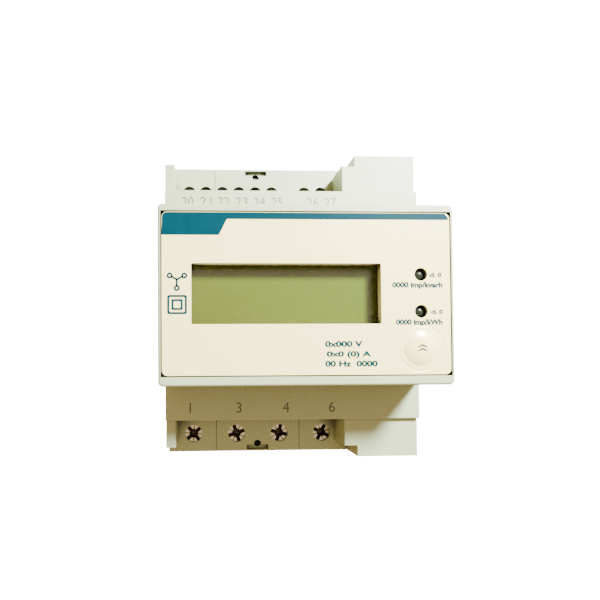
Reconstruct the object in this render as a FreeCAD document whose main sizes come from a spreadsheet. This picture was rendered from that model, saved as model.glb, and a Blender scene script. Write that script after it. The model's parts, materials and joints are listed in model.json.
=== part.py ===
import FreeCAD, Part
import math
import os
import Sketcher

# Rail-mounted electricity meter, four modules wide, for indirect connection through current transformers.
# Millimetres. The origin is the centre of the rail seat on the seat plane. +X is to the right as the
# display is read, +Z is up, and the front faces -Y. A depth is a distance in front of the rail seat,
# so the point at depth d has y = -d. What lies behind the seat plane has a negative depth.

DOC = FreeCAD.newDocument("rail_meter")
SHEET = DOC.addObject("Spreadsheet::Sheet", "Dims")
PIECES = []


class Size:
    """A length that carries its number and the spreadsheet expression that it comes from."""

    def __init__(self, value, text=None):
        self.value = float(value)
        self.text = text or f"{self.value:.6g}"

    def __add__(self, other):
        other = size(other)
        return Size(self.value + other.value, f"({self.text} + {other.text})")

    def __sub__(self, other):
        other = size(other)
        return Size(self.value - other.value, f"({self.text} - {other.text})")

    def __mul__(self, other):
        other = size(other)
        return Size(self.value * other.value, f"({self.text} * {other.text})")

    def __truediv__(self, other):
        other = size(other)
        return Size(self.value / other.value, f"({self.text} / {other.text})")

    def __neg__(self):
        return Size(-self.value, f"(-1 * {self.text})")

    def __radd__(self, other):
        return size(other) + self

    def __rsub__(self, other):
        return size(other) - self

    def __rmul__(self, other):
        return size(other) * self


def size(value):
    return value if isinstance(value, Size) else Size(value)


def dimensions(title, **values):
    """Write one titled block of driving dimensions to the sheet and return them as Sizes."""
    row = dimensions.next_row
    SHEET.set(f"A{row}", title)
    sizes = {}
    for alias, value in values.items():
        row += 1
        SHEET.set(f"A{row}", alias)
        SHEET.set(f"B{row}", str(value))
        SHEET.setAlias(f"B{row}", alias)
        sizes[alias] = Size(value, f"Dims.{alias}")
    dimensions.next_row = row + 2
    return sizes


dimensions.next_row = 1

# ---------------------------------------------------------------- driving dimensions

CASE = dimensions(
    "case",
    body_width=72, body_height=86.8, nose_height=44, band_height=65, wall_height=80.7,
    nose_depth=60, band_depth=42, wall_depth=40.7, floor_depth=31, split_depth=22, back_reach=6,
    left_wall=2.73, block_left=14.8, block_step=18.6, shell=1.8, floor_skin=1.6, block_skin=1.8,
    rim_side=0.7, rim_top=1.8, rim_bottom=2.3, ledge_depth=57.8, ledge_width=1.6,
    nose_corner=1.2, soft_edge=0.3, nose_edge=0.65, end_corner=1.2,
    seam_width=0.2, seam_sink=0.2, upper_seam_x=-21.6, lower_seam_x=3.8,
    seal_x=-9, seal_slot_width=6.6, seal_slot_height=1.4, seal_slot_z=41.5, seal_slot_sink=1.2,
    seal_hole_radius=1.1, seal_hole_z=41.2, seal_hole_sink=4,
)
SNAP = dimensions(
    "snap straps on the side walls",
    strap_thickness=1.0, strap_height=12, strap_reach=10, strap_z=27, hook_width=5.6, hook_rise=0.85,
    window_width=6.2, window_near=14, window_far=17.2, snap_gap=0.1,
)
RAIL = dimensions(
    "rail channel and clip",
    seat_rise=0.3, seat_half=15.2,
    channel_top=17.7, channel_bottom=18.2, claw_tip=15.6, claw_front=1.25, claw_back=3.0,
    claw_root=4.8, claw_length=14, claw_x=22,
    guide_wide=8.2, guide_narrow=6.8, guide_floor=0.2, guide_step=2.6, guide_gap=0.2,
    post_width=2, post_low=-38, post_high=-36.6, post_rise=3.4,
    clip_window_half=2.7, clip_window_low=-38.2, clip_window_high=-24, clip_back=4.4,
    clip_top=-18.4, clip_low=-43, clip_nose_top=-15.5, clip_nose_front=1.35, clip_nose_back=3.6,
    clip_nose_slope=1.4, clip_nose_land=0.9, tab_corner=0.8,
    tab_low=-46.6, tab_slot_width=5.4, tab_slot_low=-45.4, tab_slot_high=-44,
    spring_radius=1.7, spring_wire=0.5, spring_turns=7,
)
POWER = dimensions(
    "current terminals, lower row",
    power_x=-28.5, power_pitch=13.1, power_z=-38, power_hole=2.65, power_pocket=3.4, power_lip=0.7,
    power_head=3.2, power_head_front=30.2, power_head_back=27.6, power_shank=2, power_tip=19.05,
    power_cage_half=4.3, power_cage_wall=1.2, power_cage_length=6.6, power_cage_front=22.4,
    power_cage_nut=2.8, power_cage_rear=10.2, power_cage_floor=1.4, thread_gap=0.05,
    tongue_front=19, tongue_back=17.4, tongue_half=2.9, tongue_low=-41, bar_low=-27, bar_high=-23,
    tongue_bevel=0.6, entry_half=3.1, entry_back=11.7, entry_front=17.3,
    rib_thickness=1.4, rib_top=-34.4, head_bevel=0.3, tip_bevel=0.4,
    recess_radius=1.35, recess_sink=1.9, recess_arm=1.15, recess_reach=2.55, recess_arm_sink=1.1,
    tick_reach=2.6, tick_width=0.24, tick_sink=0.3,
)
SIGNAL = dimensions(
    "voltage and output terminals, upper row",
    signal_x=-29.5, signal_pitch=5.08, signal_z=36.1, signal_hole=1.95,
    signal_head=2.1, signal_head_front=26.9, signal_head_back=25.4, signal_shank=1.25,
    signal_tip=20.55, signal_cage_half=2.0, signal_cage_wall=0.6, signal_cage_length=5,
    signal_cage_front=22.6, signal_cage_nut=1.7, signal_cage_rear=16, signal_cage_floor=0.8,
    signal_tongue_front=20.5, signal_tongue_back=19.8, signal_tongue_half=1.25,
    signal_tongue_low=31.7, signal_tongue_high=38.8, signal_leg=0.7,
    block_back=14, block_front=29.2, block_low=30.6, block_high=41.4, block_side=3.1,
    pocket_half=2.25, pocket_low=31.4, pocket_high=39, pocket_front=27.2,
    signal_entry_half=1.5, signal_entry_back=16.9, signal_entry_front=19.7,
    signal_bevel=0.2, slot_width=0.5, slot_sink=0.8,
)
FACE = dimensions(
    "front plate, foil and display",
    plate_gap=0.3, plate_front=59.7, foil_front=59.9, plate_corner=1.3,
    window_left=-28, window_right=18, window_low=-7.1, window_high=7.55,
    pane_margin=1.6, pane_back=56.8, pane_corner=1, glass_margin=1.2, glass_back=54, glass_front=56.2,
    holder_gap=0.2, holder_wall=1.5, holder_front=56.7, backlight_back=51.5, backlight_bevel=0.5,
    zebra_height=1.6, zebra_inset=0.2,
    board_back=48.4, board_front=50, board_half_width=33, board_half_height=17.5,
    stud_x=31.3, stud_z=15.2, stud_inner_x=18.5, stud_radius=1.7, stud_bore=1.05,
    stud_bore_end=55, stud_screw=1.0, stud_screw_end=54, stud_head=1.7, stud_head_height=1.2, stud_hole=1.15,
    led_x=27.8, led_upper_z=4.9, led_lower_z=-4.1, led_radius=1.5, led_hole=1.575,
    led_flange=1.8, led_base=52.6, led_rim=53.4, led_top=59.3, led_lead=0.25, led_lead_x=1.0,
)
BUTTON = dimensions(
    "select button",
    button_x=27.65, button_z=-13.1, dome_radius=4.3, dome_rim=59.95, dome_height=0.75,
    dome_thickness=0.2, foil_hole=4.45, plate_hole=4.6, cap_radius=4.0, cap_front=59.75,
    crown_radius=2.4, crown_front=60.2, cap_back=57.6, flange_radius=5.2, flange_back=56.6,
    stem_radius=1.6, stem_back=54.6, plunger_radius=1.7, plunger_back=52.4,
    switch_half=3, switch_front=53.6, switch_hole=1.8, switch_floor=51.5, switch_corner=0.5,
)
INSIDE = dimensions(
    "boards and parts inside",
    main_back=12.4, main_front=14, main_half_width=33.6, main_low=-13.5, main_high=41.2,
    boss_x=29.5, boss_low_z=-10, boss_high_z=25, boss_radius=2.6, boss_bore=1.35, bore_floor=2.8,
    board_screw=1.3, board_screw_tip=5, board_screw_head=2.5, board_screw_top=16,
    board_hole=1.6, riser_left=-32.6, riser_right=-31, riser_low=-7, riser_high=12,
    ring_x=-25.3, ring_length=6.7, ring_depth=18.2, ring_z=-25, ring_outer=8.8, ring_inner=3.4,
    ring_round=0.8, ring_pitch=26.2,
    core_left=-9, core_right=13, core_low=-11, core_high=9, core_stack=12,
    winding_half=8.2, winding_gap=0.2, winding_round=1.5, winding_back=14, winding_front=34,
    core_back=17, winding_low=-8.4, winding_high=6.4,
    can_x=24.5, can_z=2, can_radius=5, can_top=35, can_round=0.6,
    film_round=0.8, film_left=-27, film_right=-14,
    film_low=-9, film_high=8, film_top=26, varistor_x=-21, varistor_z=15.5, varistor_radius=5.5,
    varistor_thickness=4.4, varistor_depth=20, coupler_pitch=10, coupler_x=-22, coupler_low=22.4,
    coupler_high=28.6, coupler_half=2.3, coupler_top=17.6, chip_half=5, chip_x=24, chip_z=14.5,
    chip_top=15.6, controller_x=0, controller_half=6, controller_back=46.8,
)
MAKING = dimensions(
    "how far cuts run past a face, and how far joined pieces run into each other",
    overrun=0.5, overlap=0.1,
)
OVERRUN, OVERLAP = MAKING["overrun"], MAKING["overlap"]
C, R, P, S, F, B, N, K = CASE, RAIL, POWER, SIGNAL, FACE, BUTTON, INSIDE, SNAP

half_width = C["body_width"] / 2
half_body = C["body_height"] / 2
half_nose = C["nose_height"] / 2
half_band = C["band_height"] / 2
half_wall = C["wall_height"] / 2
wall_inner = half_width - C["left_wall"]
cavity_x = half_width - C["shell"]
cavity_z = half_body - C["shell"]
POWER_NUMBERS = ["1", "3", "4", "6"]
POWER_TURNED = [40, 18, -14, -27]
SIGNAL_TURN_STEP = 23
SIGNAL_NUMBERS = {"20": 0, "21": 1, "22": 2, "23": 3, "24": 4, "25": 5, "26": 7, "27": 8}


def power_x(index):
    return P["power_x"] + P["power_pitch"] * index


def signal_x(place):
    return S["signal_x"] + S["signal_pitch"] * place


# ---------------------------------------------------------------- sketch shapes

def place_point(sketch, geometry, point, across, up):
    """Tie one point of a sketch's geometry to its distances from the sketch's origin."""
    for kind, length in (("DistanceX", across), ("DistanceY", up)):
        length = size(length)
        index = sketch.addConstraint(Sketcher.Constraint(kind, -1, 1, geometry, point, length.value))
        sketch.setExpression(f"Constraints[{index}]", length.text)


def outline(points):
    """A closed outline of straight lines through the given points."""
    points = [(size(across), size(up)) for across, up in points]

    def draw(sketch):
        first = sketch.GeometryCount
        count = len(points)
        corners = [FreeCAD.Vector(across.value, up.value, 0) for across, up in points]
        for corner in range(count):
            line = Part.LineSegment(corners[corner], corners[(corner + 1) % count])
            sketch.addGeometry(line, False)
        for corner in range(count):
            ends = (first + corner, 2, first + (corner + 1) % count, 1)
            sketch.addConstraint(Sketcher.Constraint("Coincident", *ends))
            place_point(sketch, first + corner, 1, *points[corner])
    return draw


def rectangle(left, right, low, high):
    return outline([(left, low), (right, low), (right, high), (left, high)])


def square(across, up, half):
    return rectangle(across - half, across + half, up - half, up + half)


def disc(across, up, radius):
    across, up, radius = size(across), size(up), size(radius)

    def draw(sketch):
        centre = FreeCAD.Vector(across.value, up.value, 0)
        circle = Part.Circle(centre, FreeCAD.Vector(0, 0, 1), radius.value)
        geometry = sketch.addGeometry(circle, False)
        index = sketch.addConstraint(Sketcher.Constraint("Radius", geometry, radius.value))
        sketch.setExpression(f"Constraints[{index}]", radius.text)
        place_point(sketch, geometry, 3, across, up)
    return draw


# ---------------------------------------------------------------- pieces

class Piece:
    """A sub-part made as a PartDesign body.

    The planes are named by what they face. "front" is XZ and its distances are depths, "side" is YZ
    and its distances are x, and "top" is XY and its distances are z. Each pad and cut runs from a
    low distance to a high one.
    """

    ROLES = {"front": "XZ_Plane", "side": "YZ_Plane", "top": "XY_Plane"}

    def __init__(self, label, x=0, depth=0, z=0, turned=0):
        self.body = DOC.addObject("PartDesign::Body", label)
        self.body.Label = label
        self.features = 0
        turn = FreeCAD.Rotation(FreeCAD.Vector(0, -1, 0), turned)
        self.body.Placement = FreeCAD.Placement(FreeCAD.Vector(0, 0, 0), turn)
        for axis, length in (("x", size(x)), ("y", -size(depth)), ("z", size(z))):
            self.body.setExpression(f"Placement.Base.{axis}", length.text)
        PIECES.append(self.body)

    def sketch(self, plane, offset, shapes):
        self.features += 1
        sketch = self.body.newObject("Sketcher::SketchObject", f"Sketch_{self.features}")
        role = self.ROLES[plane]
        support = [item for item in self.body.Origin.OriginFeatures if item.Role == role][0]
        sketch.AttachmentSupport = [(support, "")]
        sketch.MapMode = "FlatFace"
        sketch.setExpression("AttachmentOffset.Base.z", size(offset).text)
        for shape in shapes:
            shape(sketch)
        return sketch

    def feature(self, kind, name):
        return self.body.newObject(f"PartDesign::{kind}", f"{name}_{self.features}")

    def pad(self, plane, low, high, *shapes):
        sketch = self.sketch(plane, low, shapes)
        pad = self.feature("Pad", "Pad")
        pad.Profile = sketch
        pad.setExpression("Length", (size(high) - size(low)).text)
        DOC.recompute()
        return self

    def cut(self, plane, low, high, *shapes):
        before = self.body.Shape.Volume
        sketch = self.sketch(plane, high, shapes)
        pocket = self.feature("Pocket", "Pocket")
        pocket.Profile = sketch
        pocket.setExpression("Length", (size(high) - size(low)).text)
        DOC.recompute()
        if self.body.Shape.Volume > before - 1e-4:
            raise RuntimeError(f"{self.body.Label}: a pocket cut nothing")
        return self

    def edges(self, wanted):
        """Names of the edges whose middle point and direction pass a test."""
        names = []
        for number, edge in enumerate(self.body.Tip.Shape.Edges, 1):
            middle = edge.valueAt((edge.FirstParameter + edge.LastParameter) / 2)
            ends = edge.Vertexes
            along = ends[-1].Point - ends[0].Point
            if wanted(middle, along, edge):
                names.append(f"Edge{number}")
        if not names:
            raise RuntimeError(f"{self.body.Label}: no edge passed the test")
        return names

    def round(self, radius, wanted):
        return self.dress("Fillet", "Radius", radius, wanted)

    def bevel(self, width, wanted):
        return self.dress("Chamfer", "Size", width, wanted)

    def dress(self, kind, property_name, length, wanted):
        base = self.body.Tip
        names = self.edges(wanted)
        self.features += 1
        dress = self.feature(kind, kind)
        dress.Base = (base, names)
        dress.setExpression(property_name, size(length).text)
        DOC.recompute()
        if dress.State and "Invalid" in dress.State:
            raise RuntimeError(f"{self.body.Label}: {kind} failed on {names}")
        return self


def near(value, target, slack=0.02):
    return abs(value - size(target).value) < slack


def along_depth(along):
    return abs(along.y) > 1e-3 and abs(along.x) < 1e-6 and abs(along.z) < 1e-6


def along_height(along):
    return abs(along.z) > 1e-3 and abs(along.x) < 1e-6 and abs(along.y) < 1e-6


def at_corner(middle, across, up):
    return near(abs(middle.x), across) and near(abs(middle.z), up)


# ---------------------------------------------------------------- part primitives

def bind(item, **lengths):
    for name, length in lengths.items():
        item.setExpression(name.replace("_", "."), size(length).text)
    return item


def block(name, left, right, back, front, low, high):
    """A Part::Box between two x values, two depths and two heights."""
    left, right, back, front = size(left), size(right), size(back), size(front)
    low, high = size(low), size(high)
    box = DOC.addObject("Part::Box", name)
    bind(box, Length=right - left, Width=front - back, Height=high - low)
    return bind(box, Placement_Base_x=left, Placement_Base_y=-front, Placement_Base_z=low)


def rod(name, x, z, radius, back, front):
    """A Part::Cylinder along the depth."""
    back, front = size(back), size(front)
    cylinder = DOC.addObject("Part::Cylinder", name)
    turn = FreeCAD.Rotation(FreeCAD.Vector(1, 0, 0), 90)
    cylinder.Placement = FreeCAD.Placement(FreeCAD.Vector(0, 0, 0), turn)
    bind(cylinder, Radius=radius, Height=front - back)
    return bind(cylinder, Placement_Base_x=x, Placement_Base_y=-back, Placement_Base_z=z)


def rod_across(name, depth, z, radius, left, right):
    """A Part::Cylinder along X."""
    left, right = size(left), size(right)
    cylinder = DOC.addObject("Part::Cylinder", name)
    turn = FreeCAD.Rotation(FreeCAD.Vector(0, 1, 0), 90)
    cylinder.Placement = FreeCAD.Placement(FreeCAD.Vector(0, 0, 0), turn)
    bind(cylinder, Radius=radius, Height=right - left)
    return bind(cylinder, Placement_Base_x=left, Placement_Base_y=-size(depth), Placement_Base_z=z)


def joined(kind, label, items):
    """One sub-part from several shapes: "MultiFuse" or "MultiCommon" joins, "Compound" only groups."""
    result = DOC.addObject(f"Part::{kind}", label)
    if kind == "Compound":
        result.Links = items
    else:
        result.Shapes = items
    return result


def minus(label, base, tool):
    result = DOC.addObject("Part::Cut", label)
    result.Base = base
    result.Tool = tool
    return result


def keep(item, label):
    item.Label = label
    PIECES.append(item)
    return item


# ---------------------------------------------------------------- case

def front_housing():
    """Front half of the case: terminal floors, side walls, number bands and the hollow nose."""
    split, floor = C["split_depth"], C["floor_depth"]
    band, wall, nose = C["band_depth"], C["wall_depth"], C["nose_depth"]
    floor_back = floor - C["floor_skin"]
    piece = Piece("front_housing")
    piece.pad("front", split, floor, rectangle(-half_width, half_width, -half_body, half_body))
    piece.pad("front", floor, band, rectangle(-half_width, half_width, -half_band, half_band))
    piece.pad("front", floor, wall, rectangle(-half_width, -wall_inner, -half_wall, half_wall))
    piece.pad("front", floor, wall, rectangle(C["block_left"], half_width, -half_wall, half_wall))
    piece.pad("front", floor, wall, rectangle(C["block_step"], half_width, -half_body, half_body))
    piece.pad("front", band, nose, rectangle(-half_width, half_width, -half_nose, half_nose))

    ledge_x = half_width - C["ledge_width"]
    ledge_low = C["rim_bottom"] + C["ledge_width"] / 2 - half_nose
    ledge_high = half_nose - C["rim_top"] - C["ledge_width"] / 2
    piece.cut("front", split, floor_back, rectangle(-cavity_x, cavity_x, -cavity_z, cavity_z))
    band_z = half_band - C["shell"]
    piece.cut("front", floor_back, band - C["shell"], rectangle(-cavity_x, cavity_x, -band_z, band_z))
    block_x = C["block_step"] + C["shell"]
    block_front = wall - C["block_skin"]
    piece.cut("front", floor_back, block_front, rectangle(block_x, cavity_x, -cavity_z, cavity_z))
    opening = rectangle(-ledge_x, ledge_x, ledge_low, ledge_high)
    piece.cut("front", band - C["shell"] - OVERRUN, C["ledge_depth"], opening)
    rim = rectangle(C["rim_side"] - half_width, half_width - C["rim_side"],
                    C["rim_bottom"] - half_nose, half_nose - C["rim_top"])
    piece.cut("front", C["ledge_depth"], nose, rim)

    add_straps(piece)
    cut_terminal_holes(piece, floor, floor_back)
    cut_floor_details(piece, floor)
    soften_front(piece)
    return piece


def add_straps(piece):
    """Two snap straps on each side, which reach back over the rear half, each with a window."""
    back = C["split_depth"] - K["strap_reach"]
    straps = []
    for side in (-1, 1):
        for end in (-1, 1):
            z = K["strap_z"] * end
            outer = half_width * side
            inner = (half_width - K["strap_thickness"]) * side
            low, high = z - K["strap_height"] / 2, z + K["strap_height"] / 2
            left, right = (outer, inner) if side < 0 else (inner, outer)
            straps.append(rectangle(left, right, low, high))
    piece.pad("front", back, C["split_depth"] + OVERRUN, *straps)
    windows = []
    for end in (-1, 1):
        z = K["strap_z"] * end
        low, high = z - K["window_width"] / 2, z + K["window_width"] / 2
        windows.append(rectangle(-K["window_far"], -K["window_near"], low, high))
    piece.cut("side", -half_width - OVERRUN, half_width + OVERRUN, *windows)


def cut_terminal_holes(piece, floor, floor_back):
    """Screw holes in both floors. Each lower hole widens behind its lip, which holds the screw in."""
    holes = [disc(power_x(index), P["power_z"], P["power_hole"]) for index in range(4)]
    holes += [disc(signal_x(place), S["signal_z"], S["signal_hole"])
              for place in SIGNAL_NUMBERS.values()]
    piece.cut("front", floor_back - OVERRUN, floor + OVERRUN, *holes)
    pockets = [disc(power_x(index), P["power_z"], P["power_pocket"]) for index in range(4)]
    piece.cut("front", floor_back - OVERRUN, floor - P["power_lip"], *pockets)


def cut_floor_details(piece, floor):
    """Sealing slots with their wire holes, and the fine seams of the mould inserts."""
    slots = []
    for side in (-1, 1):
        middle = (C["seal_slot_z"] + C["seal_slot_height"] / 2) * side
        low, high = middle - C["seal_slot_height"] / 2, middle + C["seal_slot_height"] / 2
        half = C["seal_slot_width"] / 2
        slots.append(rectangle(C["seal_x"] - half, C["seal_x"] + half, low, high))
    piece.cut("front", floor - C["seal_slot_sink"], floor + OVERRUN, *slots)
    holes = [disc(C["seal_x"], C["seal_hole_z"] * side, C["seal_hole_radius"]) for side in (-1, 1)]
    piece.cut("front", floor - C["seal_hole_sink"], floor + OVERRUN, *holes)
    half_seam = C["seam_width"] / 2
    seams = []
    for x, sides in ((C["upper_seam_x"], (-1, 1)), (C["lower_seam_x"], (-1,))):
        for side in sides:
            ends = (half_band, half_body) if side > 0 else (-half_body, -half_band)
            seams.append(rectangle(x - half_seam, x + half_seam, ends[0], ends[1]))
    piece.cut("front", floor - C["seam_sink"], floor + OVERRUN, *seams)


def soften_front(piece):
    """Moulded radii on the outside edges of the front half."""
    nose = C["nose_depth"]
    piece.round(C["nose_corner"], lambda middle, along, edge: along_depth(along)
                and at_corner(middle, half_width, half_nose))

    corner_depth = C["nose_corner"] * (1 - math.sqrt(0.5))

    def nose_front(middle, along, edge):
        outer = near(abs(middle.x), half_width) or near(abs(middle.z), half_nose)
        corner = near(abs(middle.x), half_width - corner_depth) and edge.Length < C["nose_corner"].value * 2
        return near(-middle.y, nose) and (outer or corner)

    piece.round(C["nose_edge"], nose_front)

    def step_edge(middle, along, edge):
        band_edge = near(-middle.y, C["band_depth"]) and near(abs(middle.z), half_band)
        front = near(-middle.y, C["wall_depth"])
        wall_end = near(abs(middle.z), half_wall) or near(abs(middle.z), half_body)
        wall_side = near(middle.x, -half_width) or near(middle.x, half_width)
        inner = near(middle.x, -wall_inner) or near(middle.x, C["block_left"])
        return band_edge or (front and (wall_end or wall_side or inner))

    piece.round(C["soft_edge"], step_edge)


def rear_housing():
    """Rear half of the case: the rail channel with its fixed claws, the clip guide and wire entries."""
    split, back = C["split_depth"], -C["back_reach"]
    piece = Piece("rear_housing")
    piece.pad("front", back, split, rectangle(-half_width, half_width, -half_body, half_body))
    channel = rectangle(-half_width - OVERRUN, half_width + OVERRUN,
                        -R["channel_bottom"], R["channel_top"])
    piece.cut("front", back - OVERRUN, R["seat_rise"], channel)
    seat = rectangle(-half_width, half_width, -R["seat_half"], R["seat_half"])
    piece.pad("front", 0, R["seat_rise"] + OVERLAP, seat)
    top = R["channel_top"]
    profile = outline([(-OVERRUN, top + OVERRUN), (R["claw_root"], top + OVERRUN),
                       (R["claw_root"], top), (R["claw_back"], R["claw_tip"]),
                       (R["claw_front"], R["claw_tip"]), (R["claw_front"], top),
                       (-OVERRUN, top)])
    half = R["claw_length"] / 2
    for place in (-1, 0, 1):
        x = R["claw_x"] * place
        piece.pad("side", x - half, x + half, profile)

    piece.cut("front", C["shell"], split, rectangle(-cavity_x, cavity_x, -cavity_z, cavity_z))
    core_low = R["guide_wide"] + C["shell"]
    core_z = R["channel_bottom"] + C["shell"]
    deep = C["shell"] - C["back_reach"]
    piece.cut("front", deep, C["shell"] + OVERRUN,
              rectangle(-cavity_x, -core_low, -cavity_z, -core_z),
              rectangle(core_low, cavity_x, -cavity_z, -core_z),
              rectangle(-cavity_x, cavity_x, core_z, cavity_z))
    guide_z = (-half_body - OVERRUN, OVERRUN - R["channel_bottom"])
    piece.cut("front", -R["guide_step"], -R["guide_floor"],
              rectangle(-R["guide_wide"], R["guide_wide"], *guide_z))
    piece.cut("front", back - OVERRUN, OVERLAP - R["guide_step"],
              rectangle(-R["guide_narrow"], R["guide_narrow"], *guide_z))
    post = rectangle(-R["post_width"], R["post_width"], R["post_low"], R["post_high"])
    piece.pad("front", -R["post_rise"], 0, post)

    ribs = []
    for index in range(4):
        x = power_x(index) + P["power_pitch"] / 2
        half = P["rib_thickness"] / 2
        ribs.append(rectangle(x - half, x + half, -cavity_z - OVERRUN, P["rib_top"]))
    piece.pad("front", C["shell"] - OVERRUN, split, *ribs)
    for z, foot in ((N["boss_low_z"], C["shell"]), (N["boss_high_z"], deep)):
        bosses = [disc(N["boss_x"] * side, z, N["boss_radius"]) for side in (-1, 1)]
        piece.pad("front", foot - OVERRUN, N["main_back"], *bosses)
    bores = [disc(x, z, N["boss_bore"]) for x, z in boss_places()]
    piece.cut("front", N["bore_floor"], N["main_back"] + OVERRUN, *bores)

    entries = [rectangle(power_x(index) - P["entry_half"], power_x(index) + P["entry_half"],
                         -P["entry_front"], -P["entry_back"]) for index in range(4)]
    piece.cut("top", -half_body - OVERRUN, OVERRUN - cavity_z, *entries)
    entries = [rectangle(signal_x(place) - S["signal_entry_half"],
                         signal_x(place) + S["signal_entry_half"],
                         -S["signal_entry_front"], -S["signal_entry_back"])
               for place in SIGNAL_NUMBERS.values()]
    piece.cut("top", cavity_z - OVERRUN, half_body + OVERRUN, *entries)
    cut_strap_beds(piece)
    soften_rear(piece)
    return piece


def boss_places():
    return [(N["boss_x"] * side, z) for side in (-1, 1) for z in (N["boss_low_z"], N["boss_high_z"])]


def cut_strap_beds(piece):
    """Beds in the side walls for the snap straps, and the hooks that the straps catch on."""
    gap = K["snap_gap"]
    beds = []
    hooks = []
    for side in (-1, 1):
        for end in (-1, 1):
            z = K["strap_z"] * end
            half = K["strap_height"] / 2 + gap
            inner = (half_width - K["strap_thickness"] - gap) * side
            outer = (half_width + OVERRUN) * side
            left, right = (outer, inner) if side < 0 else (inner, outer)
            beds.append(rectangle(left, right, z - half, z + half))
            root = (half_width - K["strap_thickness"] - gap - OVERLAP) * side
            tip = (half_width - K["strap_thickness"] + K["hook_rise"]) * side
            left, right = (tip, root) if side < 0 else (root, tip)
            half = K["hook_width"] / 2
            hooks.append(rectangle(left, right, z - half, z + half))
    piece.cut("front", C["split_depth"] - K["strap_reach"] - gap, C["split_depth"] + OVERRUN, *beds)
    piece.pad("front", K["window_near"] + gap * 2, K["window_far"] - gap * 3, *hooks)


def soften_rear(piece):
    """Moulded radii on the rear corners."""
    def back_edge(middle, along, edge):
        outer = near(middle.y, C["back_reach"]) and near(abs(middle.z), half_body)
        return outer and edge.Length > C["shell"].value

    piece.round(C["end_corner"], back_edge)


# ---------------------------------------------------------------- rail clip

def rail_clip():
    """Sliding clip below the channel: its nose hooks behind the rail, its tab is pulled down."""
    gap = R["guide_gap"]
    piece = Piece("rail_clip")
    wide, narrow = R["guide_wide"] - gap, R["guide_narrow"] - gap
    step = R["guide_step"] - gap
    piece.pad("front", -step, -R["guide_floor"] - gap,
              rectangle(-wide, wide, R["clip_low"], R["clip_top"]))
    piece.pad("front", -R["clip_back"], -step, rectangle(-narrow, narrow, R["tab_low"], R["clip_top"]))
    nose_front, nose_top = R["clip_nose_front"], R["clip_nose_top"]
    root = R["clip_top"] - OVERRUN
    nose = outline([(nose_front, root), (R["clip_nose_back"], root),
                    (R["clip_nose_back"], nose_top - R["clip_nose_slope"]),
                    (nose_front + R["clip_nose_land"], nose_top), (nose_front, nose_top)])
    piece.pad("side", -narrow, narrow, nose)
    half = R["clip_window_half"]
    piece.cut("front", -R["clip_back"] - OVERRUN, OVERRUN,
              rectangle(-half, half, R["clip_window_low"], R["clip_window_high"]))
    half = R["tab_slot_width"] / 2
    piece.cut("front", -R["clip_back"] - OVERRUN, OVERRUN,
              rectangle(-half, half, R["tab_slot_low"], R["tab_slot_high"]))
    piece.round(R["tab_corner"], lambda middle, along, edge: along_depth(along)
                and near(middle.z, R["tab_low"]) and near(abs(middle.x), narrow))
    return piece


def clip_spring():
    """Steel compression spring in the clip's window, between the case's post and the clip."""
    length = R["clip_window_high"] - R["post_high"]
    wire = R["spring_wire"] / 2
    piece = Piece("clip_spring", depth=-(R["clip_back"] + R["guide_floor"]) / 2, z=R["post_high"])
    sketch = piece.sketch("front", 0, [disc(R["spring_radius"] - wire, wire, wire)])
    helix = piece.feature("AdditiveHelix", "Helix")
    helix.Profile = sketch
    helix.ReferenceAxis = (sketch, ["V_Axis"])
    helix.Mode = "height-turns-angle"
    helix.setExpression("Turns", R["spring_turns"].text)
    helix.setExpression("Height", (length - R["spring_wire"]).text)
    DOC.recompute()
    return piece


# ---------------------------------------------------------------- terminals

def cross_recess(piece, front):
    """A cross-head recess: four tapering arms and a deeper round centre."""
    half, reach = P["recess_arm"] / 2, P["recess_reach"]
    clear = front + OVERRUN
    piece.cut("front", front - P["recess_arm_sink"], clear, rectangle(-reach, reach, -half, half))
    piece.cut("front", front - P["recess_arm_sink"], clear, rectangle(-half, half, -reach, reach))
    piece.cut("front", front - P["recess_sink"], clear, disc(0, 0, P["recess_radius"]))


def tick_marks(piece, front):
    """Radial ticks at 45 degrees, which mark this cross recess as the eight-sided kind."""
    ticks = []
    diagonal = math.sqrt(0.5)
    across = P["tick_width"] * diagonal / 2
    start, end = P["recess_radius"] * diagonal, P["tick_reach"] * diagonal
    for x_side, z_side in ((1, 1), (-1, 1), (-1, -1), (1, -1)):
        ticks.append(outline([((start + across) * x_side, (start - across) * z_side),
                              ((end + across) * x_side, (end - across) * z_side),
                              ((end - across) * x_side, (end + across) * z_side),
                              ((start - across) * x_side, (start + across) * z_side)]))
    piece.cut("front", front - P["tick_sink"], front + OVERRUN, *ticks)


def power_screw(number, index):
    piece = Piece(f"power_screw_{number}", x=power_x(index), z=P["power_z"],
                  turned=POWER_TURNED[index])
    head, shank = P["power_head"], P["power_shank"]
    back, front, tip = P["power_head_back"], P["power_head_front"], P["power_tip"]
    piece.pad("front", back, front, disc(0, 0, head))
    piece.pad("front", tip, back, disc(0, 0, shank))
    piece.bevel(P["head_bevel"], lambda middle, along, edge: near(-middle.y, front))
    piece.bevel(P["tip_bevel"], lambda middle, along, edge: near(-middle.y, tip))
    cross_recess(piece, front)
    tick_marks(piece, front)
    return piece


def signal_screw(number, place):
    turned = SIGNAL_TURN_STEP * place
    piece = Piece(f"signal_screw_{number}", x=signal_x(place), z=S["signal_z"], turned=turned)
    front, tip = S["signal_head_front"], S["signal_tip"]
    piece.pad("front", S["signal_head_back"], front, disc(0, 0, S["signal_head"]))
    piece.pad("front", tip, S["signal_head_back"], disc(0, 0, S["signal_shank"]))
    piece.bevel(S["signal_bevel"], lambda middle, along, edge: near(-middle.y, front))
    half = S["slot_width"] / 2
    slot = rectangle(-S["signal_head"], S["signal_head"], -half, half)
    piece.cut("front", front - S["slot_sink"], front + OVERRUN, slot)
    return piece


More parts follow.
